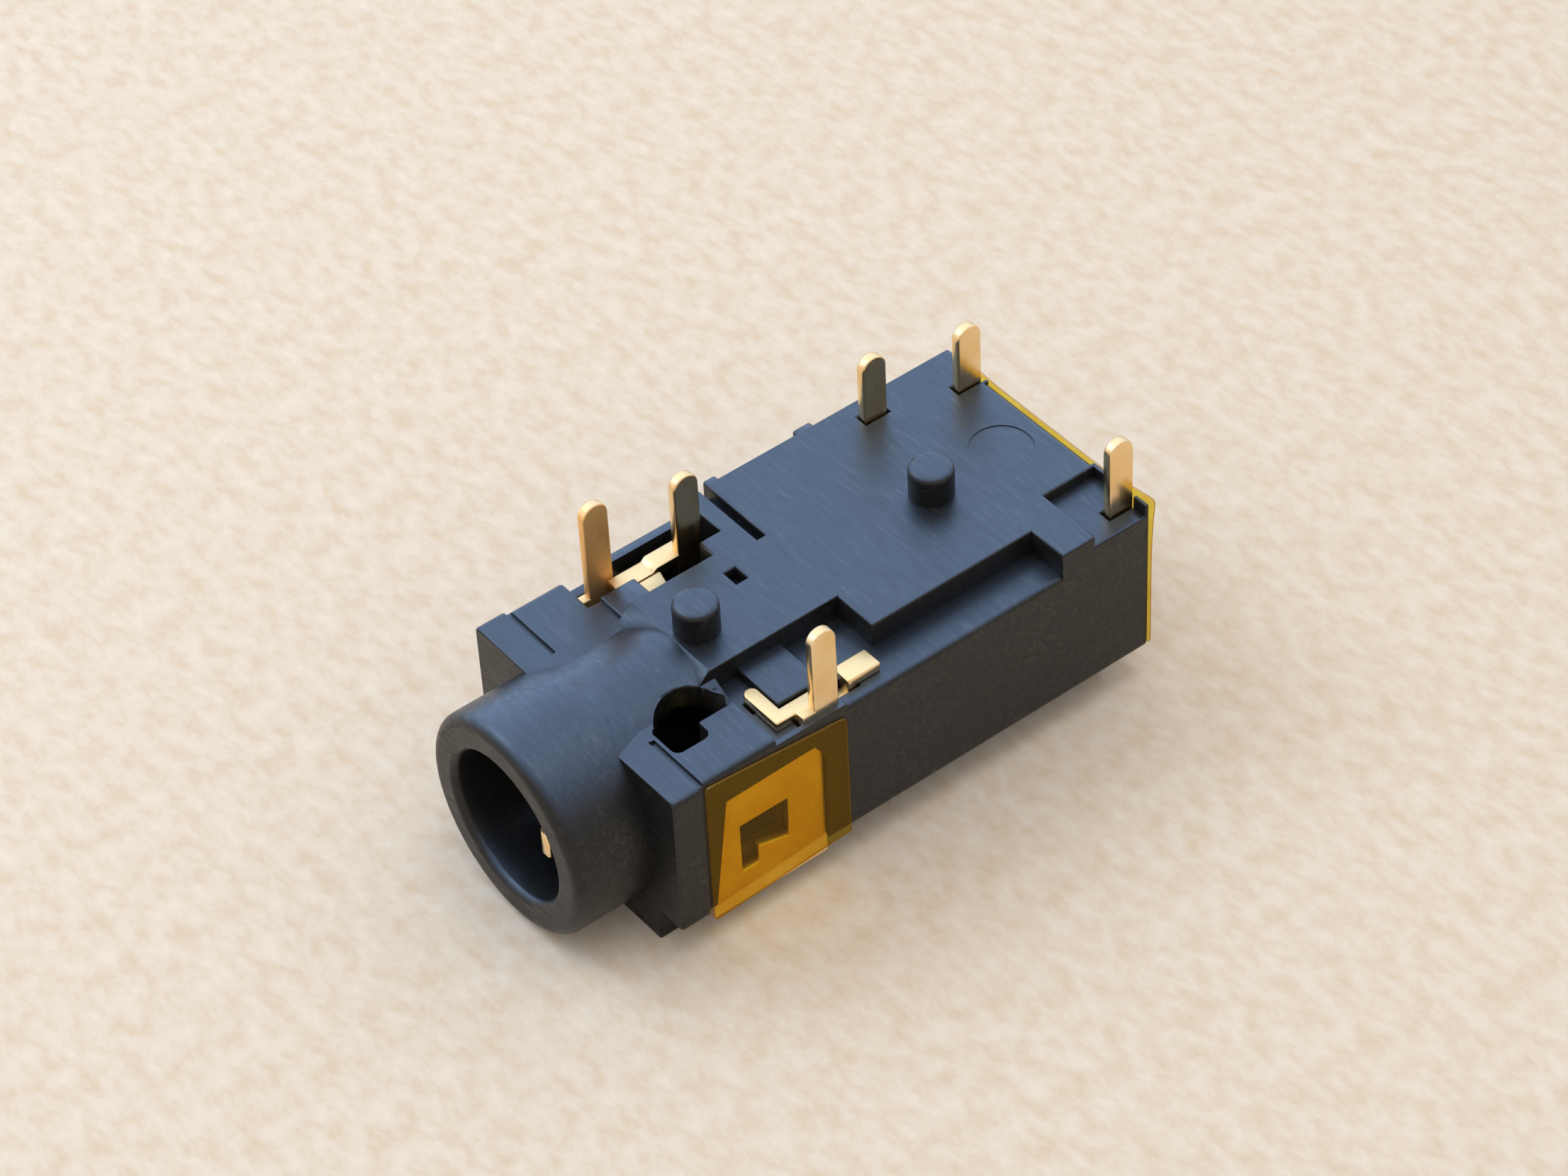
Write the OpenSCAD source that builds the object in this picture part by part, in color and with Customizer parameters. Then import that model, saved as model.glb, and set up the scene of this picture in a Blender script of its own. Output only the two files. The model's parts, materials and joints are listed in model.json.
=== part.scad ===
// Board-mounted audio jack socket, lying with its board face and solder pins up.
// Stations along X are counted from the mouth of the barrel towards the rear.

/* [Barrel] */
// Bore that guides the plug
bore_d = 3.6; // [3.4:0.05:3.9]
// Outer diameter of the barrel
nose_d = 5.4; // [5.3:0.05:6]
// Length of the barrel in front of the flange
nose_l = 2; // [1.6:0.1:3]
// Step from the barrel down to the hump behind the flange
hump_drop = 0.16; // [0.16:0.02:0.3]
// Depth of the lead-in cone at the mouth
lead_in = 0.12; // [0.08:0.02:0.3]
// Length of the drafted stretch of the bore, from the mouth
draft_l = 1.25; // [1.2:0.05:1.4]
// How much wider the drafted stretch is at the mouth, in radius
draft = 0.04; // [0.03:0.01:0.08]
// Rounding of the barrel's outer rim
rim_r = 0.3; // [0.1:0.05:0.4]
// Depth of the plug channel from the mouth
channel_l = 14.3; // [14.1:0.1:14.6]
// Room round the plug behind the guide bore
channel_gap = 0.2; // [0.15:0.05:0.25]

/* [Body] */
// Length of the body from the flange's front to the rear face
body_l = 13.3; // [13.2:0.1:14.5]
// Width of the body
body_w = 6.9; // [6.8:0.1:7.6]
// Height of the board face above the plug axis
board_rise = 2.55; // [2.5:0.05:3]
// Step from the board face down to the front block
front_drop = 0.4; // [0.2:0.05:0.5]
// Step from the board face down to the near ledge
ledge_drop = 0.65; // [0.55:0.05:0.75]
// Depth of the side wings below the plug axis
wing_drop = 1.8; // [1.7:0.05:2]
// Rounding of the long edges
edge_r = 0.15; // [0.05:0.05:0.25]
// Thickness of the far side wall at the front pocket
far_wall = 0.25; // [0.2:0.025:0.4]
// Thickness of the side walls at the rear pockets
rear_wall = 0.475; // [0.4:0.025:0.55]
// Height of the low notch in the far wall, below the front block
notch_drop = 0.45; // [0.3:0.05:0.6]
// Thickness of the near side wall over the sleeve plate
near_wall = 0.125; // [0.1:0.025:0.2]
// Height of the side ribs
rib_h = 0.2; // [0.1:0.05:0.3]
// Length of the rear spring pockets
rear_pocket_l = 4.4; // [4.3:0.1:4.8]
// Distance of the guide bore's end behind the flange
guide_l = 0.25; // [0.2:0.05:0.3]
// Length of the front block behind the flange
block_l = 2.05; // [2:0.05:2.1]
// Length of the near ledge
ledge_l = 3.5; // [3.4:0.05:3.6]
// Distance of the deck's rear step from the rear face
step_l = 2.5; // [2.4:0.05:2.6]
// Width of the near ledge
ledge_w = 2.25; // [2.2:0.05:2.3]
// Width of the near ledge's narrow rear stretch
ledge_rear_w = 1.05; // [1:0.05:1.1]
// Distance of the far pocket behind the flange
far_pocket_off = 1.5; // [1.45:0.05:1.55]
// Length of the open stretch of the far pocket
far_open_l = 2.8; // [2.75:0.05:2.85]
// Length of the covered stretch of the far pocket
far_cover_l = 2.85; // [2.8:0.05:2.9]
// Size of the bevel along the rear top edge
rear_bevel = 0.16; // [0.1:0.02:0.25]

/* [Flange] */
// Thickness of the flange
flange_t = 0.75; // [0.6:0.05:0.9]
// Width of the flange
flange_w = 7.1; // [7:0.1:7.8]
// Width of the groove behind the flange
groove_w = 0.12; // [0.08:0.02:0.2]
// Depth of the groove behind the flange
groove_d = 0.08; // [0.05:0.01:0.2]

/* [Pegs] */
// Diameter of the locating pegs
peg_d = 1.05; // [0.8:0.05:1.2]
// Height of the pegs above the board face
peg_h = 0.8; // [0.5:0.05:1.2]
// Station of the front peg
peg_x = 5.4; // [5.35:0.05:5.8]
// Distance between the pegs
peg_pitch = 6.55; // [6:0.05:7]

/* [Contacts] */
// Distance of the second-ring pin behind the far pocket's front
ring2_pin_off = 0.75; // [0.7:0.05:0.8]
// Distance between the second-ring and first-ring pins
ring_pitch = 2.05; // [2:0.05:2.1]
// Distance between the side planes of the ring terminals
ring_step = 0.55; // [0.5:0.05:0.6]
// Distance of the sleeve pin behind the front block
sleeve_pin_off = 1.5; // [1.45:0.05:1.55]
// Distance of the fixed switch contact's pin from the rear face
contact_pin_off = 2.7; // [2.65:0.05:2.75]
// Distance of the switch spring's pin from the rear face
switch_pin_off = 0.45; // [0.4:0.05:0.5]
// Distance of the tip pin from the rear face
tip_pin_off = 0.4; // [0.4:0.05:0.5]
// Distance between the side planes of the switch terminals
switch_step = 0.6; // [0.55:0.05:0.65]
// Distance of the tip arm's root from the rear face
tip_root_off = 1.6; // [1.55:0.05:1.65]
// Distance of the switch arm's root from the rear face
switch_root_off = 1.15; // [1.1:0.05:1.2]
// Depth of the flap under the first-ring terminal's strip
flap_drop = 0.35; // [0.3:0.05:0.4]
// Thickness of the stamped terminals
strip_t = 0.25; // [0.2:0.01:0.3]
// Thickness of the spring arms
arm_t = 0.15; // [0.12:0.01:0.18]
// Width of the spring arms
arm_w = 1.2; // [1:0.05:1.4]
// Width of the sleeve finger
finger_w = 0.65; // [0.5:0.05:0.75]
// Height of the sleeve finger above the plug axis
finger_up = 0.35; // [0.2:0.05:0.4]
// Width of a solder pin
pin_w = 0.66; // [0.5:0.02:0.7]
// Height of the pins above the board face
pin_rise = 1.75; // [1.2:0.05:2.5]
// How far the springs reach into the plug's path
press_in = 0.35; // [0.2:0.05:0.4]
// How far the sleeve finger reaches into the plug's path
sleeve_press = 0.45; // [0.3:0.05:0.5]
// Radial play between plug and guide bore
plug_play = 0.05; // [0.03:0.01:0.1]
// Radius of a spring arm's round root
root_r = 0.1; // [0.09:0.005:0.12]
// Gap at the root of a spring arm
root_gap = 0.025; // [0.01:0.005:0.04]
// Width of the flat parts of a terminal that lie open
strap_w = 0.35; // [0.3:0.05:0.4]
// Length of the sleeve terminal's flat tail behind its pin
tail_l = 0.9; // [0.7:0.05:1]
// Length of the window in the sleeve plate
window_l = 1.3; // [1:0.05:1.4]
// Height of the window in the sleeve plate
window_h = 1.4; // [1.1:0.05:1.6]
// Distance of the window behind the guide bore
window_x = 0.84; // [0.7:0.02:0.9]
// Depth of the window's foot below the plug axis
window_drop = 1.33; // [1.2:0.01:1.35]
// Length of the tongue in the window
tongue_l = 0.85; // [0.5:0.05:1]
// Height of the tongue at its free end
tongue_h = 0.5; // [0.3:0.05:0.7]
// Height of the tongue at its root
tongue_root = 0.25; // [0.1:0.05:0.3]
// Length of the lowered bridge between sleeve pin and tail
bridge_l = 0.75; // [0.7:0.05:0.8]
// Distance of the second-ring terminal's cross leg behind the far pocket's front
leg_off = 0.325; // [0.3:0.025:0.35]
// Length of the first-ring terminal's flat strip in front of its pin
flat_l = 1.95; // [1.8:0.05:2]
// Length of the strip's lower stretch
flat_low = 0.95; // [0.8:0.05:1.1]
// Reach of the fixed switch contact in front of its pin
contact_front = 1.35; // [1.2:0.05:1.4]
// Reach of the fixed switch contact behind its pin
contact_rear = 0.45; // [0.35:0.05:0.5]
// Reach of the front spring arms from root to bump
front_reach = 1.45; // [1.3:0.05:1.5]
// Reach of the rear spring arms from root to bump
rear_reach = 1.85; // [1.7:0.05:1.9]
// Turned-out end of a spring arm
arm_lip = 0.4; // [0.3:0.05:0.45]
// Clearance of a strip in its slot
slot_gap = 0.03; // [0.01:0.01:0.05]

/* [Film] */
// Thickness of the amber film
film_t = 0.06; // [0.03:0.01:0.1]
// How far the side film hangs below the wing
film_hang = 0.25; // [0:0.05:0.4]
// Slant of the side film's top, below the ledge at its rear end
film_slant = 0.25; // [0.15:0.05:0.3]
// How far the rear film stands above the board face
film_stand = 0.06; // [0:0.02:0.2]

/* [Hidden] */
$fn = 48;
eps = 0.02;

// Heights
axis_z = nose_d / 2;
board_z = axis_z + board_rise;
front_z = board_z - front_drop;
ledge_z = board_z - ledge_drop;
wing_z = axis_z - wing_drop;
pin_z = board_z + pin_rise;

// Stations
total_l = nose_l + body_l + film_t;
flange_x = nose_l;
block_x = nose_l + flange_t;
rear_x = nose_l + body_l;
guide_x = block_x + guide_l;
deck_x = block_x + block_l;
jog1_x = deck_x + ledge_l;
jog2_x = rear_x - step_l;

// Radii and side planes
bore_r = bore_d / 2;
nose_r = nose_d / 2;
hump_r = nose_r - hump_drop;
plug_r = bore_r - plug_play;
channel_r = bore_r + channel_gap;
half_w = body_w / 2;
pocket_in = channel_r - 0.4;
near1 = -(half_w - ledge_w);
near2 = -(half_w - ledge_rear_w);
bump_y = plug_r - press_in + arm_t / 2;
finger_y = plug_r - sleeve_press + arm_t / 2;

// Pockets for the springs
floor_z = axis_z - arm_w / 2 - 0.2;
roof_z = axis_z + arm_w / 2 + 0.6;
far_pocket_x = block_x + far_pocket_off;
far_open_end = far_pocket_x + far_open_l;
far_pocket_end = far_open_end + far_cover_l;
well_end = far_open_end + 0.6;
notch_end = far_pocket_x + 1.15;
rear_pocket_x = rear_x - rear_pocket_l;

// Side planes of the terminals, at the middle of each strip
sleeve_y = -(half_w - near_wall - strip_t / 2);
ring2_y = half_w - far_wall - strip_t / 2;
ring1_y = ring2_y - ring_step;
contact_y = half_w - rear_wall - strip_t / 2;
switch_y = contact_y - switch_step;
tip_y = -contact_y;

// Stations of the solder pins
ring2_pin = far_pocket_x + ring2_pin_off;
ring1_pin = ring2_pin + ring_pitch;
sleeve_pin = deck_x + sleeve_pin_off;
contact_pin = rear_x - contact_pin_off;
switch_pin = rear_x - switch_pin_off;
tip_pin = rear_x - tip_pin_off;

// Roots of the spring arms
root_off = root_gap + root_r;
sleeve_root = [guide_x - root_off, -(bore_r + 0.13)];
ring2_root = [far_pocket_x + leg_off + root_off, ring2_y - 0.65];
ring1_root = [ring1_pin + pin_w / 2 + root_off, ring1_y];
tip_root = [rear_x - tip_root_off - root_off, tip_y];
switch_root = [rear_x - switch_root_off - root_off, switch_y];

well_in = ring1_y - 0.42;

// Lid over the front part of the far pocket
lid_x = far_pocket_x + 0.3;
lid_end = far_pocket_x + 1.25;
lid_y = ring1_y - strip_t / 2;
flap_y = max(lid_y - 0.4, pocket_in + strip_t / 2 + slot_gap);

// Keyway for the sleeve finger
sleeve_z = axis_z + finger_up;

key_y = bore_r + 0.61;
key_w = finger_w + 0.1;
key_x = 0.1;
finger_gap = 0.1;

// Sleeve plate in the near wall
plate_z = wing_z - 0.45;
plate_top = ledge_z - 0.65;
plate_end = sleeve_pin - 0.15;
strap_x = sleeve_pin - 1.18;
strap_top = ledge_z + strip_t;
strap_tip = sleeve_y + strip_t / 2 + 1.25 - strap_w / 2;
strap_hook = 0.3;
tail_x = sleeve_pin + pin_w / 2 + 0.45;
bridge_z = ledge_z - 0.45;
foot_l = 0.5;

// Outline of a strip along a path, with mitred corners
function unit(v) = v / norm(v);
function side_of(v) = [-v[1], v[0]];
function heading(p, i) = unit(p[i + 1] - p[i]);
function corner(p, i, h) =
    let (before = side_of(heading(p, max(i - 1, 0))))
    let (after = side_of(heading(p, min(i, len(p) - 2))))
    let (middle = unit(before + after))
    p[i] + middle * h / (middle * before);

// The same path with its inner corners eased into short curves
function eased(p, r, steps = 4) = [
    for (i = [0:len(p) - 1])
        let (inner = i > 0 && i < len(p) - 1)
        let (a = inner ? p[i] - heading(p, i - 1) * r : p[i])
        let (b = inner ? p[i] + heading(p, i) * r : p[i])
        for (k = [0:inner ? steps : 0])
            let (u = k / steps)
            inner ? a * (1 - u) ^ 2 + p[i] * 2 * u * (1 - u) + b * u ^ 2 : p[i]];

module strip(path, t) {
    n = len(path);
    polygon(concat(
        [for (i = [0:n - 1]) corner(path, i, -t / 2)],
        [for (i = [n - 1:-1:0]) corner(path, i, t / 2)]));
}

// A flat outline in X and Z, as thick as the strip, at one side plane
module plate(y) {
    translate([0, y, 0])
        rotate([90, 0, 0])
            linear_extrude(strip_t, center = true)
                children();
}

// An outline in Y and Z, run along X
module along(x, l) {
    translate([x, 0, 0])
        rotate([90, 0, 90])
            linear_extrude(l)
                children();
}

module box(from, to) {
    translate(from)
        cube(to - from);
}

module area(from, to) {
    translate(from)
        square(to - from);
}

module soft_area(from, to, r) {
    area(from + [r, 0], to - [r, 0]);
    area(from + [0, r], to - [0, r]);
    for (x = [from[0] + r, to[0] - r])
        for (y = [from[1] + r, to[1] - r])
            translate([x, y])
                circle(r);
}

// A solder pin with a full-round tip, from z up
module pin_area(x, z) {
    area([x - pin_w / 2, z], [x + pin_w / 2, pin_z - pin_w / 2]);
    translate([x, pin_z - pin_w / 2])
        circle(d = pin_w);
}

// A spring arm: round root, then a strip along its path
module arm(path, w, z = axis_z) {
    translate([0, 0, z - w / 2])
        linear_extrude(w) {
            translate(path[0])
                circle(root_r);
            strip(eased(path, 0.11), arm_t);
        }
}

// Everything is drawn from the mouth and then centred on the origin
module centred() {
    translate([-total_l / 2, 0, 0])
        children();
}

// Housing

module barrel() {
    translate([0, 0, axis_z])
        rotate([0, 90, 0])
            rotate_extrude() {
                area([0, rim_r], [nose_r, flange_x]);
                area([0, 0], [nose_r - rim_r, flange_x]);
                translate([nose_r - rim_r, rim_r])
                    circle(rim_r);
                polygon([[0, flange_x - eps], [nose_r, flange_x - eps], [nose_r, flange_x],
                    [hump_r, block_x], [0, block_x]]);
                area([0, flange_x], [hump_r, deck_x + hump_drop]);
            }
}

module deck_area() {
    polygon([
        [deck_x, near1], [jog1_x, near1], [jog1_x, near2], [jog2_x, near2], [jog2_x, -half_w],
        [rear_x, -half_w], [rear_x, half_w], [well_end, half_w], [well_end, well_in],
        [far_open_end, well_in], [far_open_end, pocket_in], [deck_x, pocket_in]]);
}

// Sloped front edge of the deck
module deck_ramp() {
    rise = board_z - front_z;
    translate([0, pocket_in, 0])
        rotate([90, 0, 0])
            linear_extrude(pocket_in - near1)
                polygon([[deck_x - rise, front_z], [deck_x + eps, front_z], [deck_x + eps, board_z],
                    [deck_x, board_z]]);
}

// Raised parts of the ledge round the sleeve terminal
module ledge_blocks() {
    block = [strap_x + strap_w + 0.05, sleeve_pin + pin_w / 2 + 0.1];
    box([block[0], sleeve_y + strip_t / 2 + strap_w + 0.1, ledge_z - eps], [block[1], near1, front_z]);
    box([deck_x - eps, -half_w, ledge_z - 2 * edge_r],
        [sleeve_pin + pin_w / 2 + 0.1, -half_w + near_wall, front_z - edge_r]);
}

module peg(x) {
    top_r = 0.15;
    translate([x, 0, board_z - eps])
        rotate_extrude() {
            area([0, 0], [peg_d / 2, peg_h + eps - top_r]);
            area([0, 0], [peg_d / 2 - top_r, peg_h + eps]);
            translate([peg_d / 2 - top_r, peg_h + eps - top_r])
                circle(top_r);
        }
}

module ribs() {
    for (r = [[well_end + 0.7, 0.35], [jog1_x + 2.6, 0.5]])
        box([r[0], half_w - eps, axis_z], [r[0] + r[1], half_w + rib_h, board_z - 0.05]);
}

module shell() {
    keel_end = rear_x - 0.7;
    barrel();
    along(flange_x, flange_t)
        soft_area([-flange_w / 2, wing_z], [flange_w / 2, front_z], edge_r);
    along(block_x - eps, deck_x - block_x + 2 * eps)
        soft_area([-half_w, wing_z], [half_w, front_z], edge_r);
    along(deck_x - eps, rear_x - deck_x + eps)
        soft_area([-half_w, wing_z], [half_w, ledge_z], edge_r);
    translate([0, 0, ledge_z - 2 * edge_r])
        linear_extrude(board_z - ledge_z + 2 * edge_r)
            deck_area();
    deck_ramp();
    ledge_blocks();
    box([notch_end, half_w - far_wall, ledge_z - eps], [well_end + eps, half_w, front_z]);
    box([lid_x, pocket_in - eps, ledge_z - 2 * edge_r], [lid_end, lid_y, front_z + 0.1]);
    box([flange_x, -nose_r, 0], [keel_end, nose_r, wing_z + eps]);
    for (i = [0, 1])
        peg(peg_x + i * peg_pitch);
    ribs();
}

module plug_way() {
    translate([0, 0, axis_z])
        rotate([0, 90, 0]) {
            rotate_extrude()
                polygon([
                    [0, -eps], [bore_r + draft + lead_in + eps, -eps], [bore_r + draft, lead_in],
                    [bore_r, draft_l], [bore_r, guide_x], [channel_r, guide_x],
                    [channel_r, channel_l], [0, channel_l]]);
        }
    box([key_x, -key_y, sleeve_z - key_w / 2], [guide_x + eps, 0, sleeve_z + key_w / 2]);
}

// Kidney-shaped opening over the front block
module bean_area() {
    r = 0.95;
    middle = [block_x + 1.15, -(bore_r + 0.13)];
    lobe = 0.5;
    soft = 0.2;
    difference() {
        translate(middle)
            circle(r);
        area(middle - [2 * r, 2 * r], middle + [2 * r, 0]);
    }
    soft_area(middle - [r, lobe], middle + [0, r / 2], soft);
}

module near_cuts() {
    plate_out = sleeve_y - strip_t / 2;
    plate_in = sleeve_y + strip_t / 2;
    box([guide_x, plate_out, floor_z], [deck_x + 0.2, -pocket_in, roof_z]);
    translate([0, 0, roof_z - eps])
        linear_extrude(board_z)
            bean_area();
    box([guide_x, plate_out, plate_z], [plate_end + 0.05, plate_in, plate_top + 0.05]);
    translate([0, plate_out + eps, 0])
        rotate([90, 0, 0])
            linear_extrude(half_w)
                polygon([[guide_x, plate_z], [plate_end, plate_z], [plate_end, plate_top - 0.5],
                    [plate_end - 0.3, plate_top - 0.03], [guide_x + 0.43, plate_top - 0.03],
                    [guide_x, wing_z]]);
    box([plate_end - foot_l - 0.05, plate_out, plate_top - foot_l],
        [sleeve_pin + pin_w / 2 + slot_gap, plate_in, board_z]);
    box([strap_x - slot_gap, strap_tip - strip_t - slot_gap, ledge_z - strap_hook - slot_gap],
        [strap_x + strap_w + slot_gap, strap_tip + slot_gap, board_z]);
    box([tail_x - bridge_l - slot_gap, plate_in - eps, bridge_z - slot_gap],
        [tail_x + strip_t + slot_gap, plate_in + strap_w + slot_gap, board_z]);
}

module far_cuts() {
    far_out = half_w - far_wall;
    rear_out = half_w - rear_wall;
    box([far_pocket_x, pocket_in, floor_z], [far_open_end, far_out, roof_z]);
    box([far_pocket_x, lid_y, floor_z], [far_open_end, far_out, board_z + 1]);
    box([lid_end, pocket_in, floor_z], [far_open_end, far_out, board_z + 1]);
    box([far_open_end - eps, well_in, floor_z], [well_end, far_out, board_z + 1]);
    box([far_pocket_x, far_out - eps, front_z - notch_drop], [notch_end, half_w + 1, board_z + 1]);
    box([far_open_end - eps, pocket_in, floor_z], [far_pocket_end, ring1_y + strip_t, roof_z]);
    box([ring1_pin - pin_w / 2 - slot_gap, ring1_y - strip_t / 2 - slot_gap, floor_z - 0.35],
        [ring1_pin + pin_w / 2 + slot_gap, ring1_y + strip_t / 2 + slot_gap, floor_z + eps]);
    box([rear_pocket_x, pocket_in, floor_z], [rear_x + 1, rear_out, roof_z]);
    pin_slot(contact_pin, contact_y, contact_pin + pin_w / 2 + slot_gap);
    pin_slot(switch_pin, switch_y, rear_x + 1);
}

module rear_near_cuts() {
    recess = 0.3;
    lip = 0.1;
    box([rear_pocket_x, -(half_w - rear_wall), floor_z], [rear_x + 1, -pocket_in, roof_z]);
    pin_slot(tip_pin, tip_y, rear_x + 1);
    box([tip_pin - 1.15, -half_w - 1, board_z - recess],
        [rear_x - lip, -(half_w - 1.75), board_z + 1]);
}

// Way up for a solder pin, from its pocket to the board face
module pin_slot(x, y, end) {
    box([x - pin_w / 2 - slot_gap, y - strip_t / 2 - slot_gap, roof_z - eps],
        [end, y + strip_t / 2 + slot_gap, board_z + 1]);
}

module top_details() {
    hole = [0.3, 0.45, 0.4];
    slit = [0.22, 2.1, 0.4];
    clear = nose_r - 0.95;
    translate([ring1_pin, 0.75, board_z - hole[2] / 2 + eps])
        cube(hole + [0, 0, eps], center = true);
    box([well_end + 0.45, half_w - slit[1], board_z - slit[2]],
        [well_end + 0.45 + slit[0], half_w + 1, board_z + 1]);
    for (y = [clear, -half_w - 1])
        box([block_x, y, front_z - groove_d], [block_x + groove_w, y + half_w + 1 - clear, front_z + 1]);
    translate([0, pocket_in + 0.4, 0])
        rotate([90, 0, 0])
            linear_extrude(2 * pocket_in + 0.4)
                polygon([[rear_x - rear_bevel, board_z], [rear_x + eps, board_z - rear_bevel - eps],
                    [rear_x + eps, board_z + eps], [rear_x - rear_bevel, board_z + eps]]);
}

// Shallow round mark of an ejector pin, between the rear peg and the rear edge
module ejector_mark() {
    mark_d = 1.5;
    mark_depth = 0.02;
    translate([rear_x - 1.25, 0.1, board_z - mark_depth])
        cylinder(d = mark_d, h = 1);
}

module housing() {
    color("#24282d")
        centred()
            difference() {
                shell();
                plug_way();
                near_cuts();
                far_cuts();
                rear_near_cuts();
                top_details();
                ejector_mark();
            }
}

// Terminals

// Flat parts of the sleeve terminal that lie open on the ledge
module strap_area() {
    out = sleeve_y - strip_t / 2;
    inner = sleeve_y + strip_t / 2;
    right = sleeve_pin + pin_w / 2;
    area([strap_x, inner], [right, inner + strap_w]);
    area([strap_x, inner], [strap_x + strap_w, strap_tip]);
    translate([strap_x + strap_w / 2, strap_tip])
        circle(d = strap_w);
    area([plate_end - foot_l, out], [right, inner + eps]);
    area([tail_x, inner], [tail_x + tail_l, inner + 1.6 * strap_w]);
}

module sleeve_terminal() {
    window = [guide_x + window_x, axis_z - window_drop];
    inner = sleeve_y + strip_t / 2;
    color("#d9b25f")
        centred() {
            plate(sleeve_y)
                difference() {
                    union() {
                        area([guide_x, plate_z], [plate_end, plate_top]);
                        area([plate_end - foot_l, plate_top - foot_l],
                            [sleeve_pin + pin_w / 2, ledge_z]);
                        pin_area(sleeve_pin, plate_top - foot_l);
                    }
                    area(window, window + [window_l, window_h]);
                }
            plate(sleeve_y)
                translate(window)
                    polygon([[window_l - tongue_l, -eps], [window_l + eps, -eps],
                        [window_l + eps, tongue_root], [window_l - tongue_l, tongue_h]]);
            box([guide_x, sleeve_y, floor_z], [guide_x + strip_t, -bore_r, roof_z]);
            translate([0, 0, ledge_z])
                linear_extrude(strip_t)
                    strap_area();
            box([strap_x, strap_tip - strip_t, ledge_z - strap_hook],
                [strap_x + strap_w, strap_tip, ledge_z + eps]);
            box([tail_x - bridge_l, inner - eps, bridge_z],
                [tail_x + strip_t, inner + strap_w, bridge_z + strip_t]);
            box([tail_x, inner, bridge_z], [tail_x + strip_t, inner + strap_w, ledge_z + eps]);
        }
}

module ring2_terminal() {
    leg_x = far_pocket_x + leg_off - strip_t / 2;
    color("#d9b25f")
        centred() {
            plate(ring2_y) {
                area([leg_x - strip_t / 2, floor_z], [ring2_pin + pin_w, front_z - notch_drop]);
                pin_area(ring2_pin, floor_z);
            }
            box([leg_x - strip_t / 2, ring2_root[1] - 0.15, floor_z],
                [leg_x + strip_t / 2, ring2_y, roof_z]);
        }
}

module ring1_terminal() {
    wide = strap_w + 0.15;
    low = front_z - 0.1 - strip_t / 2;
    high = low + 0.1;
    start = ring1_pin - flat_l;
    bend = start + flat_low;
    color("#d9b25f")
        centred() {
            plate(ring1_y)
                pin_area(ring1_pin, floor_z - 0.35);
            translate([0, ring1_y - strip_t / 2 + wide, 0])
                rotate([90, 0, 0])
                    linear_extrude(wide)
                        strip([[start, low], [bend, low], [bend + 0.12, high], [ring1_pin, high]], strip_t);
            along(lid_end + 0.1, 0.6)
                strip([[ring1_y, low], [flap_y, low - flap_drop], [flap_y, roof_z - 0.1]], strip_t);
        }
}

module tip_terminal() {
    color("#d9b25f")
        centred()
            plate(tip_y) {
                area([tip_root[0] + root_off, floor_z], [rear_x - 0.05, roof_z]);
                pin_area(tip_pin, floor_z);
            }
}

module switch_terminal() {
    color("#d9b25f")
        centred()
            plate(switch_y) {
                area([switch_root[0] + root_off, floor_z], [rear_x - 0.05, roof_z]);
                pin_area(switch_pin, floor_z);
            }
}

module switch_contact() {
    color("#d9b25f")
        centred()
            plate(contact_y) {
                area([contact_pin - contact_front, floor_z], [contact_pin + contact_rear, roof_z]);
                pin_area(contact_pin, floor_z);
            }
}

// Spring arms

module sleeve_spring() {
    front = key_x + finger_gap + arm_t / 2;
    color("#e3c27a")
        centred()
            arm([sleeve_root, [front + 0.75, sleeve_root[1] + 0.05], [front + 0.24, -finger_y],
                [front, -finger_y], [front, -finger_y - 0.3]], finger_w, sleeve_z);
}

// A front arm runs towards the rear, its lip turned out from the plug
module front_arm(root) {
    bump_x = root[0] + front_reach;
    arm([root, [bump_x, bump_y], [bump_x + arm_lip, bump_y + arm_lip]], arm_w);
}

module ring2_spring() {
    color("#e3c27a")
        centred()
            front_arm(ring2_root);
}

module ring1_spring() {
    color("#e3c27a")
        centred()
            front_arm(ring1_root);
}

module tip_spring() {
    bump_x = tip_root[0] - rear_reach;
    color("#e3c27a")
        centred()
            arm([tip_root, [bump_x, -bump_y], [bump_x - arm_lip, -bump_y - arm_lip]], arm_w);
}

module switch_spring() {
    bump_x = switch_root[0] - rear_reach + 0.1;
    color("#e3c27a")
        centred()
            arm([switch_root, [bump_x, bump_y], [bump_x - 1.75 * arm_lip, bump_y + 1.375 * arm_lip]], arm_w);
}

// Amber film

module side_film() {
    start = block_x + groove_w + 0.02;
    end = sleeve_pin + 0.37;
    color("#e0a420")
        centred()
            translate([0, -half_w, 0])
                rotate([90, 0, 0])
                    linear_extrude(film_t)
                        polygon([[start, wing_z - film_hang], [end, wing_z - film_hang],
                            [end, ledge_z - film_slant], [start, front_z - edge_r]]);
}

module rear_film() {
    color("#e0a420")
        centred()
            box([rear_x, -half_w - 0.08, wing_z + 0.1],
                [rear_x + film_t, half_w - 0.05, board_z + film_stand]);
}

housing();
sleeve_terminal();
sleeve_spring();
ring2_terminal();
ring2_spring();
ring1_terminal();
ring1_spring();
tip_terminal();
tip_spring();
switch_terminal();
switch_spring();
switch_contact();
side_film();
rear_film();
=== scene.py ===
import json
import math

import bmesh
import bpy
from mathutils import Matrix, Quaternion, Vector, noise
from mathutils.bvhtree import BVHTree


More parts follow.
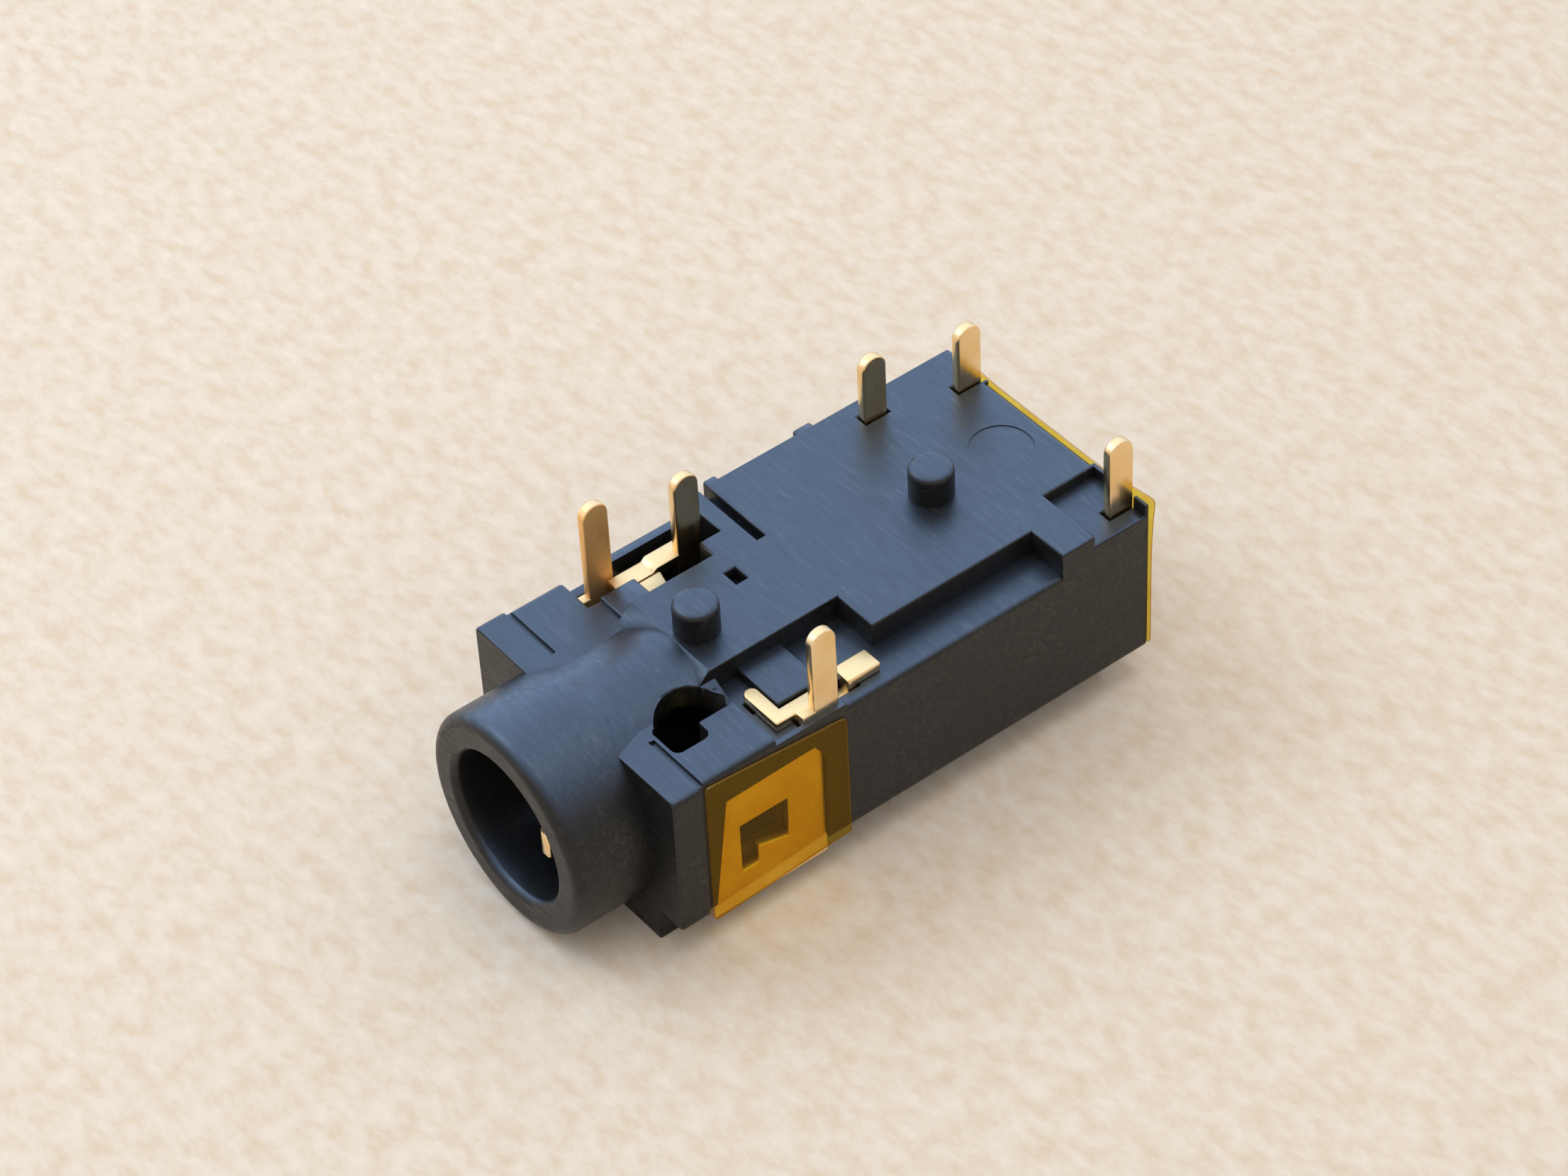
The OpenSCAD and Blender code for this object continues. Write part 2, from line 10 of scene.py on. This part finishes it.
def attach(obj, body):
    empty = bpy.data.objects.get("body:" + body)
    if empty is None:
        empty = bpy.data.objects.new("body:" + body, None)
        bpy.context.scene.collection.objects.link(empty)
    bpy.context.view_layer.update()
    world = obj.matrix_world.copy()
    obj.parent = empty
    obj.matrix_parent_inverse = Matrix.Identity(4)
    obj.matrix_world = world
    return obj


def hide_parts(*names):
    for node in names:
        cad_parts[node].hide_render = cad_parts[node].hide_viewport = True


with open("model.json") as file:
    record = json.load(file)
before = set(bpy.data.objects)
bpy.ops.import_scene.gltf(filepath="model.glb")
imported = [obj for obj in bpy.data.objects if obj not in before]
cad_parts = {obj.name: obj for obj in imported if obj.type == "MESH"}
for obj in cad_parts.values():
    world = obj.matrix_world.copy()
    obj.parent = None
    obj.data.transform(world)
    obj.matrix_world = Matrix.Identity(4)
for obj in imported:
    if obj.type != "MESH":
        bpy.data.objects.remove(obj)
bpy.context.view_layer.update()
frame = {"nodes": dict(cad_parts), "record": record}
mm = 0.001  # the frame is in metres
bodies = frame["record"]["behaviour"]["bodies"]
bodyOf = {node: body for body, nodes in bodies.items() for node in nodes}
axisZ, nearWall, rearFace = 2.7, -3.45, 7.62  # mm: plug axis, near side wall and rear face
noiseLow, noiseHigh = 0.3, 0.7  # most of a noise lies between these


def atMm(x, y, z):
    return Vector((x, y, z)) * mm


# Node helpers
def newMaterial(name):
    mat = bpy.data.materials.new(name)
    mat.use_nodes = True
    tree = mat.node_tree
    tree.nodes.clear()
    out = tree.nodes.new("ShaderNodeOutputMaterial")
    return mat, tree, out


def addNode(tree, kind, inputs=None, **settings):
    node = tree.nodes.new(kind)
    for key, value in settings.items():
        setattr(node, key, value)
    for key, value in (inputs or {}).items():
        if isinstance(value, bpy.types.NodeSocket):
            tree.links.new(value, node.inputs[key])
        else:
            node.inputs[key].default_value = value
    return node


def ramp(tree, fac, stops):
    node = addNode(tree, "ShaderNodeValToRGB", {"Fac": fac})
    bar = node.color_ramp
    while len(bar.elements) < len(stops):
        bar.elements.new(0.5)
    for element, (place, colour) in zip(bar.elements, stops):
        element.position = place
        element.color = (*colour, 1)
    return node.outputs["Color"]


def span(tree, fac, low, high, fromLow=0.0, fromHigh=1.0):
    node = addNode(tree, "ShaderNodeMapRange", {
        "Value": fac, "From Min": fromLow, "From Max": fromHigh, "To Min": low, "To Max": high})
    return node.outputs["Result"]


def spots(tree, place, perMm, detail=3.0, rough=0.55):
    node = addNode(tree, "ShaderNodeTexNoise", {
        "Vector": place, "Scale": perMm / mm, "Detail": detail, "Roughness": rough})
    return node.outputs["Fac"]


def stretched(tree, place, scale):
    return addNode(tree, "ShaderNodeMapping", {"Vector": place, "Scale": scale}).outputs["Vector"]


# Moulded black plastic: satin, with pale flow flecks drawn out across the body
plasticLook = {
    "dark": (0.0045, 0.0044, 0.0044), "mid": (0.0078, 0.0075, 0.0072), "fleck": (0.032, 0.031, 0.030),
    "roughLow": 0.30, "roughHigh": 0.46, "ior": 1.42,
    "cloudPerMm": 0.7, "cloudShare": 0.07, "flowPerMm": 9.0, "drawn": (1.0, 0.14, 1.0),
    "grainPerMm": 26.0, "grainHeight": 0.003, "grainStrength": 0.5,
}


def plasticMaterial(look):
    mat, tree, out = newMaterial("blackMouldedPlastic")
    place = addNode(tree, "ShaderNodeTexCoord").outputs["Object"]
    cloud = spots(tree, place, look["cloudPerMm"])
    flow = spots(tree, stretched(tree, place, look["drawn"]), look["flowPerMm"], 3.0, 0.65)
    grain = spots(tree, place, look["grainPerMm"], 2.0, 0.6)
    shift = span(tree, cloud, -look["cloudShare"], look["cloudShare"], noiseLow, noiseHigh)
    patchy = addNode(tree, "ShaderNodeMath", {0: flow, 1: shift}, operation="ADD").outputs[0]
    colour = ramp(tree, patchy, [(0.35, look["dark"]), (0.58, look["mid"]), (0.78, look["fleck"])])
    rough = span(tree, flow, look["roughHigh"], look["roughLow"], noiseLow, noiseHigh)
    bump = addNode(tree, "ShaderNodeBump", {
        "Strength": look["grainStrength"], "Distance": look["grainHeight"] * mm, "Height": grain})
    shader = addNode(tree, "ShaderNodeBsdfPrincipled", {
        "Base Color": colour, "Roughness": rough, "Normal": bump.outputs["Normal"], "IOR": look["ior"]})
    tree.links.new(shader.outputs[0], out.inputs["Surface"])
    return mat


# Gold plating on stamped strip
goldLook = {
    "pale": (0.94, 0.72, 0.42), "deep": (0.87, 0.58, 0.26),
    "roughLow": 0.18, "roughHigh": 0.32, "cloudPerMm": 1.1,
    "rollPerMm": 9.0, "drawn": (1.0, 1.0, 0.15), "rollHeight": 0.0012, "rollStrength": 0.3,
    "top": (0.48, 0.285, 0.115), "topRough": 0.5,  # painted shade: the strips' upward faces, pin tips too, get a darker colour and more roughness, so the gloss sky doesn't clip them to white
}
# The front far pin gets a copy of the gold that is rougher and more orange than the rest: the orange is
# painted reflection of what that pin mirrors
paintedReflectionGoldLook = {
    **goldLook, "pale": (0.95, 0.62, 0.27), "deep": (0.86, 0.48, 0.16),
    "roughLow": 0.50, "roughHigh": 0.66,
}


def goldMaterial(name, look):
    mat, tree, out = newMaterial(name)
    place = addNode(tree, "ShaderNodeTexCoord").outputs["Object"]
    cloud = spots(tree, place, look["cloudPerMm"])
    rolled = spots(tree, stretched(tree, place, look["drawn"]), look["rollPerMm"], 2.0)
    colour = ramp(tree, cloud, [(0.3, look["deep"]), (0.68, look["pale"])])
    rough = span(tree, rolled, look["roughLow"], look["roughHigh"])
    # Painted shade: upward faces take the darker colour and more roughness, by a face mask set on each
    # strip
    top = addNode(tree, "ShaderNodeAttribute", attribute_name="paintedShadeOnTops").outputs["Fac"]
    colour = addNode(tree, "ShaderNodeMix", {
        0: top, 6: colour, 7: (*look["top"], 1)}, data_type="RGBA").outputs[2]
    rough = addNode(tree, "ShaderNodeMix", {0: top, 2: rough, 3: look["topRough"]}).outputs[0]
    bump = addNode(tree, "ShaderNodeBump", {
        "Strength": look["rollStrength"], "Distance": look["rollHeight"] * mm, "Height": rolled})
    shader = addNode(tree, "ShaderNodeBsdfPrincipled", {
        "Base Color": colour, "Metallic": 1.0, "Roughness": rough,
        "Normal": bump.outputs["Normal"]})
    tree.links.new(shader.outputs[0], out.inputs["Surface"])
    return mat


# Clear amber film: light passes it tinted, and it keeps a little colour and gloss of its own
filmLook = {
    "tint": (0.965, 0.885, 0.38), "deepTint": (0.94, 0.84, 0.31), "edgeTint": (0.72, 0.40, 0.05),
    "body": (0.48, 0.28, 0.06), "own": 0.08, "edgeOwn": 0.5, "rough": 0.14, "ior": 1.6,
    "ripplePerMm": 0.8, "rippleHeight": 0.015, "rippleStrength": 0.4,
}


def filmMaterial(look):
    mat, tree, out = newMaterial("amberFilm")
    place = addNode(tree, "ShaderNodeTexCoord").outputs["Object"]
    ripple = spots(tree, place, look["ripplePerMm"], 1.0)
    edge = addNode(tree, "ShaderNodeAttribute", attribute_name="cutEdge").outputs["Fac"]
    sheet = ramp(tree, ripple, [(0.35, look["deepTint"]), (0.65, look["tint"])])
    tint = addNode(tree, "ShaderNodeMix", {
        0: edge, 6: sheet, 7: (*look["edgeTint"], 1)}, data_type="RGBA").outputs[2]
    bump = addNode(tree, "ShaderNodeBump", {
        "Strength": look["rippleStrength"], "Distance": look["rippleHeight"] * mm, "Height": ripple})
    own = addNode(tree, "ShaderNodeBsdfPrincipled", {
        "Base Color": (*look["body"], 1), "Roughness": look["rough"],
        "Normal": bump.outputs["Normal"], "IOR": look["ior"]})
    clear = addNode(tree, "ShaderNodeBsdfTransparent", {"Color": tint})
    share = span(tree, edge, look["own"], look["edgeOwn"])
    mix = addNode(tree, "ShaderNodeMixShader", {0: share, 1: clear.outputs[0], 2: own.outputs[0]})
    tree.links.new(mix.outputs[0], out.inputs["Surface"])
    return mat


plastic = plasticMaterial(plasticLook)
gold = goldMaterial("goldPlatedStrip", goldLook)
paintedReflectionGold = goldMaterial("paintedReflectionGoldStrip", paintedReflectionGoldLook)
film = filmMaterial(filmLook)
print("stage: materials")

# Softened copies of the CAD nodes: moulded and stamped edges are never razor sharp
softEdge = {
    "housing": 0.06, "terminal": 0.04, "contact": 0.04, "spring": 0.03, "finger": 0.06,  # widths in mm
    "weld": 0.0005,  # mm
    "coplanar": math.radians(0.5), "flat": math.radians(1.5), "sharp": math.radians(35),
    "crease": math.radians(50), "innerCrease": math.radians(14),
    "segments": 2, "least": 0.15, "passes": 12, "halvings": 2,
    "roomPerWidth": 2.3, "farPerWidth": 0.45, "reachPerWidth": 1.5, "reachStep": 0.5,
    "alongEdge": 0.95, "endRoom": 0.9,
}
tiny = {"run": 1e-12, "room": 1e-9, "turn": 1e-20, "square": 1e-18}  # guards against a zero


def flatCopy(obj):
    bm = bmesh.new()
    bm.from_mesh(obj.data)
    bmesh.ops.remove_doubles(bm, verts=bm.verts, dist=softEdge["weld"] * mm)
    bmesh.ops.dissolve_limit(bm, angle_limit=softEdge["coplanar"], use_dissolve_boundaries=False,
                             verts=bm.verts, edges=bm.edges)
    return bm


# Faces in one plane are one region, and its rim is where the surface turns
def flatRegions(bm):
    regionOf, rims = {}, []
    for face in bm.faces:
        if face in regionOf:
            continue
        group, todo = [], [face]
        regionOf[face] = len(rims)
        while todo:
            one = todo.pop()
            group.append(one)
            for edge in one.edges:
                if edge.calc_face_angle(math.pi) < softEdge["flat"]:
                    for other in edge.link_faces:
                        if other not in regionOf:
                            regionOf[other] = len(rims)
                            todo.append(other)
        edges = [edge for one in group for edge in one.edges]
        rims.append([edge for edge in edges if edge.calc_face_angle(math.pi) >= softEdge["flat"]])
    return regionOf, rims


# Free width of a flat region beside one of its edges
def roomBeside(face, edge, rim):
    loop = next(one for one in face.loops if one.edge == edge)
    start, end = loop.vert.co, loop.link_loop_next.vert.co
    along = (end - start).normalized()
    inward = face.normal.cross(along)
    length = (end - start).length
    room = 1.0
    for other in rim:
        if other == edge:
            continue
        p, q = (vert.co - start for vert in other.verts)
        if any(vert in other.verts for vert in edge.verts):
            lean = abs((q - p).normalized().dot(along))
            if lean < softEdge["alongEdge"]:
                across = (q - p).length * math.sqrt(1 - lean * lean)
                room = min(room, across * softEdge["endRoom"])
            continue
        pu, pv, qu, qv = p.dot(along), p.dot(inward), q.dot(along), q.dot(inward)
        low, high = max(min(pu, qu), 0), min(max(pu, qu), length)
        if low > high:
            continue
        for t in (low, high):
            share = (t - pu) / (qu - pu) if abs(qu - pu) > tiny["run"] else 0.5
            far = pv + (qv - pv) * share
            if far > tiny["room"]:
                room = min(room, far)
    return room


def edgeWeights(bm, width):
    regionOf, rims = flatRegions(bm)
    weights = {}
    for edge in bm.edges:
        if len(edge.link_faces) == 2 and edge.calc_face_angle_signed(0) >= softEdge["sharp"]:
            room = min(roomBeside(face, edge, rims[regionOf[face]]) for face in edge.link_faces)
            weight = min(1.0, room / (softEdge["roomPerWidth"] * width * mm))
            weights[edge] = weight if weight > softEdge["least"] else 0.0
    return weights


# Places where the outline of a face crosses itself
def selfCrossings(face):
    flat = face.normal.to_track_quat("Z", "Y").inverted()
    pts = [flat @ vert.co for vert in face.verts]
    n = len(pts)
    found = []
    for i in range(n):
        a, b = pts[i], pts[(i + 1) % n]
        for j in range(i + 2, n - (i == 0)):
            c, d = pts[j], pts[(j + 1) % n]
            r, q = b - a, d - c
            det = r.x * q.y - r.y * q.x
            if abs(det) < tiny["turn"]:
                continue
            t = ((c.x - a.x) * q.y - (c.y - a.y) * q.x) / det
            u = ((c.x - a.x) * r.y - (c.y - a.y) * r.x) / det
            if 0 < t < 1 and 0 < u < 1:
                found.append(face.verts[i].co.lerp(face.verts[(i + 1) % n].co, t))
    return found


def segmentDistance(point, edge):
    a, b = (vert.co for vert in edge.verts)
    ab = b - a
    t = max(0.0, min(1.0, (point - a).dot(ab) / max(ab.length_squared, tiny["square"])))
    return (a + ab * t - point).length


# Points that stray from the CAD skin, and places where a face folds over
def bevelFaults(mesh, skin, width):
    bm = bmesh.new()
    bm.from_mesh(mesh)
    nearest = [skin.find_nearest(vert.co) for vert in bm.verts]
    faults = [hit[0] for hit in nearest if hit[3] > softEdge["farPerWidth"] * width * mm]
    for face in bm.faces:
        if len(face.verts) > 4:
            faults += selfCrossings(face)
    bm.free()
    return faults


# The sleeve finger's tip is set a little further into the mouth
fingerSet = {"from": -6.7, "over": 0.45, "inward": 0.28}


def setFinger(bm):
    for vert in bm.verts:
        t = max(0.0, min(1.0, (fingerSet["from"] - vert.co.x / mm) / fingerSet["over"]))
        vert.co.y += fingerSet["inward"] * mm * t * t * (3 - 2 * t)


# Outer edges are smooth once they are rounded, inner corners stay crisp
def markCreases(mesh):
    bm = bmesh.new()
    bm.from_mesh(mesh)
    for face in bm.faces:
        face.smooth = True
    for edge in bm.edges:
        turn = edge.calc_face_angle_signed(0)
        edge.smooth = -softEdge["innerCrease"] < turn < softEdge["crease"]
    bm.to_mesh(mesh)
    bm.free()


def shownMesh(piece):
    bpy.context.view_layer.update()
    return bpy.data.meshes.new_from_object(piece.evaluated_get(bpy.context.evaluated_depsgraph_get()))


# Corner normals follow the larger faces, and on the barrel, hump and bore the plug's axis
roundFaces = {"spread": 0.004, "least": 0.5, "facing": 0.995}  # lengths in mm


def trueNormals(piece):
    piece.modifiers.new("faceNormals", "WEIGHTED_NORMAL").keep_sharp = True
    mesh = shownMesh(piece)
    normals = [corner.vector.copy() for corner in mesh.corner_normals]
    for poly in mesh.polygons:
        places = [mesh.vertices[v].co for v in poly.vertices]
        arms = [Vector((0, place.y, place.z - axisZ * mm)) for place in places]
        reach = [arm.length for arm in arms]
        facing = sum(arms, Vector()).normalized().dot(poly.normal)
        even = max(reach) - min(reach) < roundFaces["spread"] * mm
        if even and min(reach) > roundFaces["least"] * mm and abs(facing) > roundFaces["facing"]:
            side = 1 if facing > 0 else -1
            for loop, arm in zip(poly.loop_indices, arms):
                normals[loop] = arm.normalized() * side
    mesh.normals_split_custom_set(normals)
    mesh.name = piece.name
    piece.modifiers.clear()
    piece.data = mesh


# A bevel by weight; where it folds over, the edges there are eased and it is made again
def softCopy(node, name, width, material):
    bm = flatCopy(frame["nodes"][node])
    if node == "sleeve_spring":
        setFinger(bm)
    layer = bm.edges.layers.float.new("bevel_weight_edge")
    weights = edgeWeights(bm, width)
    for edge, weight in weights.items():
        edge[layer] = weight
    skin = BVHTree.FromBMesh(bm)
    mesh = bpy.data.meshes.new(name)
    piece = bpy.data.objects.new(name, mesh)
    bpy.context.scene.collection.objects.link(piece)
    bevel = piece.modifiers.new("softEdge", "BEVEL")
    bevel.limit_method = "WEIGHT"
    bevel.width = width * mm
    bevel.segments = softEdge["segments"]
    bevel.use_clamp_overlap = False
    faults = []
    for attempt in range(softEdge["passes"]):
        bm.to_mesh(mesh)
        shown = shownMesh(piece)
        faults = bevelFaults(shown, skin, width)
        if not faults:
            break
        reach = (softEdge["reachPerWidth"] + softEdge["reachStep"] * attempt) * width * mm
        for edge in weights:
            if edge[layer] > 0 and any(segmentDistance(point, edge) < reach for point in faults):
                eased = edge[layer] * (0.5 if attempt < softEdge["halvings"] else 0.0)
                edge[layer] = eased if eased > softEdge["least"] else 0.0
    bm.free()
    piece.modifiers.clear()
    piece.data = shown
    shown.name = name
    shown.materials.clear()
    shown.materials.append(material)
    markCreases(shown)
    trueNormals(piece)
    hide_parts(node)
    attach(piece, bodyOf[node])
    print("soft copy", name, "faces", len(shown.polygons),
          "passes", attempt + 1, "faults left", len(faults))
    return piece


# How far a strip's face takes painted shade, as a flat top, by the upward share of its normal
paintedShadeOnTops = {"from": 0.5, "over": 0.4}


def markPaintedShadeTops(piece):
    rises = [(poly.normal.z - paintedShadeOnTops["from"]) / paintedShadeOnTops["over"] for poly in piece.data.polygons]
    tops = piece.data.attributes.new("paintedShadeOnTops", "FLOAT", "FACE")
    tops.data.foreach_set("value", [max(0.0, min(1.0, rise)) for rise in rises])
    return piece


for node in frame["nodes"]:
    if node == "housing":
        softCopy(node, "housingMoulding", softEdge["housing"], plastic)
    elif not node.endswith("film"):
        first, second = node.split("_")
        width = softEdge["finger" if node == "sleeve_spring" else second]
        # the front far pin takes the gold copy with painted reflection
        plating = paintedReflectionGold if node == "ring2_terminal" else gold
        strip = softCopy(node, first + second.title() + "Strip", width, plating)
        # painted shade on the strip's upward faces
        markPaintedShadeTops(strip)
print("stage: softened housing and strips")

# Amber films: thin sheets on the walls, cut by hand, with a slight ripple and lifted ends
sideFilm = {
    "name": "sideFilmSheet", "node": "side_film", "cells": (48, 48), "thick": 0.045, "gap": 0.006,
    "corners": ((-4.79, 0.62), (-1.02, 0.86), (-1.02, 4.35), (-4.79, 4.70)),
    "round": 0.10, "ripple": 0.012, "ripplePerMm": 0.9, "curl": 0.05,
    "space": lambda a, b, lift: atMm(a, nearWall - lift, b),
    "rise": lambda a: 0.0,
    "ends": lambda u, v: max(u - 0.9, 0) / 0.1 * 0.6,  # the rear end lifts
}
rearFilm = {
    "name": "rearFilmSheet", "node": "rear_film", "cells": (64, 40), "thick": 0.035, "gap": 0.006,
    "corners": ((-3.50, 1.0), (3.40, 1.0), (3.40, 5.25), (-3.50, 5.25)),
    "round": 0.12, "ripple": 0.012, "ripplePerMm": 0.6, "curl": 0.10,
    "space": lambda a, b, lift: atMm(rearFace + lift, a, b),
    "rise": lambda a: 0.13 * min(1.0, max(0.0, (abs(a) - 1.5) / 1.4)) ** 2 - 0.035,
    # The upper corners lift
    "ends": lambda u, v: max(abs(u - 0.5) - 0.32, 0) / 0.18 * max(v - 0.6, 0) / 0.4,
}
risePower = 6  # keeps a film's rise to its top edge


# Grid places near a corner are drawn in to a quarter circle
def roundedCorner(u, v, size, radius):
    px, py = u * size[0], v * size[1]
    sx, sy = (px > size[0] / 2), (py > size[1] / 2)
    px, py = (size[0] - px if sx else px), (size[1] - py if sy else py)
    if px < radius and py < radius:
        dx, dy = 1 - px / radius, 1 - py / radius
        px = radius * (1 - dx * math.sqrt(1 - dy * dy / 2))
        py = radius * (1 - dy * math.sqrt(1 - dx * dx / 2))
    px, py = (size[0] - px if sx else px), (size[1] - py if sy else py)
    return px / size[0], py / size[1]


def filmSheet(look):
    nu, nv = look["cells"]
    c00, c10, c11, c01 = (Vector(corner) for corner in look["corners"])
    size = ((c10 - c00).length, (c01 - c00).length)
    bm = bmesh.new()
    layers = []
    for side in (0, 1):
        rows = []
        for j in range(nv + 1):
            row = []
            for i in range(nu + 1):
                u, v = roundedCorner(i / nu, j / nv, size, look["round"])
                spot = c00.lerp(c10, u).lerp(c01.lerp(c11, u), v)
                spot.y += v ** risePower * look["rise"](spot.x)
                wave = 0.5 + 0.5 * noise.noise(Vector((spot.x, spot.y, 3.0)) * look["ripplePerMm"])
                lift = look["gap"] + look["ripple"] * wave + look["curl"] * look["ends"](u, v) ** 2
                lift += side * look["thick"]
                row.append(bm.verts.new(look["space"](spot.x, spot.y, lift)))
            rows.append(row)
        layers.append(rows)
    inner, outer = layers
    for j in range(nv):
        for i in range(nu):
            quad = [(i, j), (i + 1, j), (i + 1, j + 1), (i, j + 1)]
            bm.faces.new([outer[b][a] for a, b in quad])
            bm.faces.new([inner[b][a] for a, b in reversed(quad)])
    rim = [(i, 0) for i in range(nu)] + [(nu, j) for j in range(nv)]
    rim += [(i, nv) for i in range(nu, 0, -1)] + [(0, j) for j in range(nv, 0, -1)]
    cut = bm.faces.layers.float.new("cutEdge")
    for (a, b), (c, d) in zip(rim, rim[1:] + rim[:1]):
        bm.faces.new([inner[b][a], inner[d][c], outer[d][c], outer[b][a]])[cut] = 1.0
    bmesh.ops.recalc_face_normals(bm, faces=bm.faces)
    mesh = bpy.data.meshes.new(look["name"])
    bm.to_mesh(mesh)
    bm.free()
    mesh.materials.append(film)
    mesh.polygons.foreach_set("use_smooth", [True] * len(mesh.polygons))
    mesh.set_sharp_from_angle(angle=softEdge["crease"])
    piece = bpy.data.objects.new(look["name"], mesh)
    bpy.context.scene.collection.objects.link(piece)
    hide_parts(look["node"])
    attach(piece, bodyOf[look["node"]])


for look in (sideFilm, rearFilm):
    filmSheet(look)
print("stage: films")

# Plain pale floor with a fine grain
floorLook = {
    "pale": (0.915, 0.825, 0.72), "mid": (0.868, 0.758, 0.64), "warm": (0.82, 0.672, 0.52),
    "grainPerMm": 2.4, "drawn": (1.0, 0.55, 1.0), "rough": 0.9, "gloss": 0.15, "half": 700.0,
}


def makeFloor(look):
    mat, tree, out = newMaterial("paleFloor")
    place = addNode(tree, "ShaderNodeTexCoord").outputs["Object"]
    grain = spots(tree, stretched(tree, place, look["drawn"]), look["grainPerMm"], 4.0, 0.6)
    colour = ramp(tree, grain, [(0.32, look["warm"]), (0.5, look["mid"]), (0.68, look["pale"])])
    shader = addNode(tree, "ShaderNodeBsdfPrincipled", {
        "Base Color": colour, "Roughness": look["rough"], "Specular IOR Level": look["gloss"]})
    tree.links.new(shader.outputs[0], out.inputs["Surface"])
    h = look["half"]
    mesh = bpy.data.meshes.new("floor")
    corners = [atMm(-h, -h, 0), atMm(h, -h, 0), atMm(h, h, 0), atMm(-h, h, 0)]
    mesh.from_pydata(corners, [], [(0, 1, 2, 3)])
    floor = bpy.data.objects.new("floor", mesh)
    bpy.context.scene.collection.objects.link(floor)
    mesh.materials.append(mat)


makeFloor(floorLook)


def towards(azimuth, elevation):
    a, e = math.radians(azimuth), math.radians(elevation)
    return Vector((math.sin(a) * math.cos(e), -math.cos(a) * math.cos(e), math.sin(e)))


softboxes = {
    "window": {"azimuth": 212, "elevation": 47, "away": 130, "size": (70, 70), "watts": 0.048,
               "colour": (0.72, 0.92, 1.15)},
    "ceilingLamp": {"azimuth": 20, "elevation": 80, "away": 280, "size": (120, 120), "watts": 0.10,
                    "colour": (1.0, 0.95, 0.88)},
}
centre = atMm(0, 0, axisZ)


def makeSoftbox(name, box):
    lamp = bpy.data.lights.new(name, "AREA")
    lamp.shape = "RECTANGLE"
    lamp.size, lamp.size_y = (side * mm for side in box["size"])
    lamp.energy = box["watts"]
    lamp.color = box["colour"]
    obj = bpy.data.objects.new(name, lamp)
    bpy.context.scene.collection.objects.link(obj)
    back = towards(box["azimuth"], box["elevation"])
    obj.location = centre + back * box["away"] * mm
    obj.rotation_mode = "QUATERNION"
    obj.rotation_quaternion = (-back).to_track_quat("-Z", "Y")
    obj.visible_camera = False


for name, box in softboxes.items():
    makeSoftbox(name, box)

worldLook = {
    "light": (1.0, 0.96, 0.90), "strength": 0.71,
    "room": (0.80, 0.72, 0.62), "sky": (0.42, 0.62, 1.0), "skyTimes": 5.8,
    "azimuth": 150, "elevation": 60, "edge": 0.05, "full": 0.85,
}


# Even room light; camera and clear rays see a warm room, and gloss also has the sky on the far side
def makeWorld(look):
    world = bpy.data.worlds.new("studio")
    bpy.context.scene.world = world
    world.use_nodes = True
    tree = world.node_tree
    tree.nodes.clear()
    out = tree.nodes.new("ShaderNodeOutputWorld")
    light = addNode(tree, "ShaderNodeBackground", {
        "Color": (*look["light"], 1), "Strength": look["strength"]})
    facing = addNode(tree, "ShaderNodeVectorMath", {
        0: addNode(tree, "ShaderNodeTexCoord").outputs["Generated"],
        1: towards(look["azimuth"], look["elevation"])}, operation="DOT_PRODUCT").outputs["Value"]
    ray = tree.nodes.new("ShaderNodeLightPath")
    inSky = addNode(tree, "ShaderNodeMath", {
        0: span(tree, facing, 0.0, 1.0, look["edge"], look["full"]),
        1: ray.outputs["Is Glossy Ray"]}, operation="MULTIPLY").outputs[0]
    colour = ramp(tree, inSky, [(0.0, look["room"]), (0.5, look["sky"])])
    shown = addNode(tree, "ShaderNodeBackground", {
        "Color": colour, "Strength": span(tree, inSky, 1.0, look["skyTimes"])})
    either = ray.outputs["Is Camera Ray"]
    for kind in ("Is Glossy Ray", "Is Transmission Ray"):
        either = addNode(tree, "ShaderNodeMath", {
            0: either, 1: ray.outputs[kind]}, operation="MAXIMUM").outputs[0]
    mix = addNode(tree, "ShaderNodeMixShader", {0: either, 1: light.outputs[0], 2: shown.outputs[0]})
    tree.links.new(mix.outputs[0], out.inputs["Surface"])


makeWorld(worldLook)

# Camera, as fitted to the photograph
photoView = {
    "target": (1.59, 2.05, 2.5), "azimuth": -36.15, "elevation": 43.89,
    "away": 110.17, "roll": -3.27, "lens": 112.56, "sensor": 36.0, "clip": (1, 3000),
}


def makeCamera(look):
    data = bpy.data.cameras.new("photoCamera")
    data.lens = look["lens"]
    data.sensor_width = look["sensor"]
    data.clip_start, data.clip_end = (end * mm for end in look["clip"])
    cam = bpy.data.objects.new("photoCamera", data)
    bpy.context.scene.collection.objects.link(cam)
    back = towards(look["azimuth"], look["elevation"])
    cam.location = atMm(*look["target"]) + back * look["away"] * mm
    cam.rotation_mode = "QUATERNION"
    roll = Quaternion((0, 0, 1), math.radians(look["roll"]))
    cam.rotation_quaternion = (-back).to_track_quat("-Z", "Y") @ roll
    bpy.context.scene.camera = cam


makeCamera(photoView)
bpy.context.scene.view_settings.view_transform = "Standard"
print("stage: floor, light and camera")
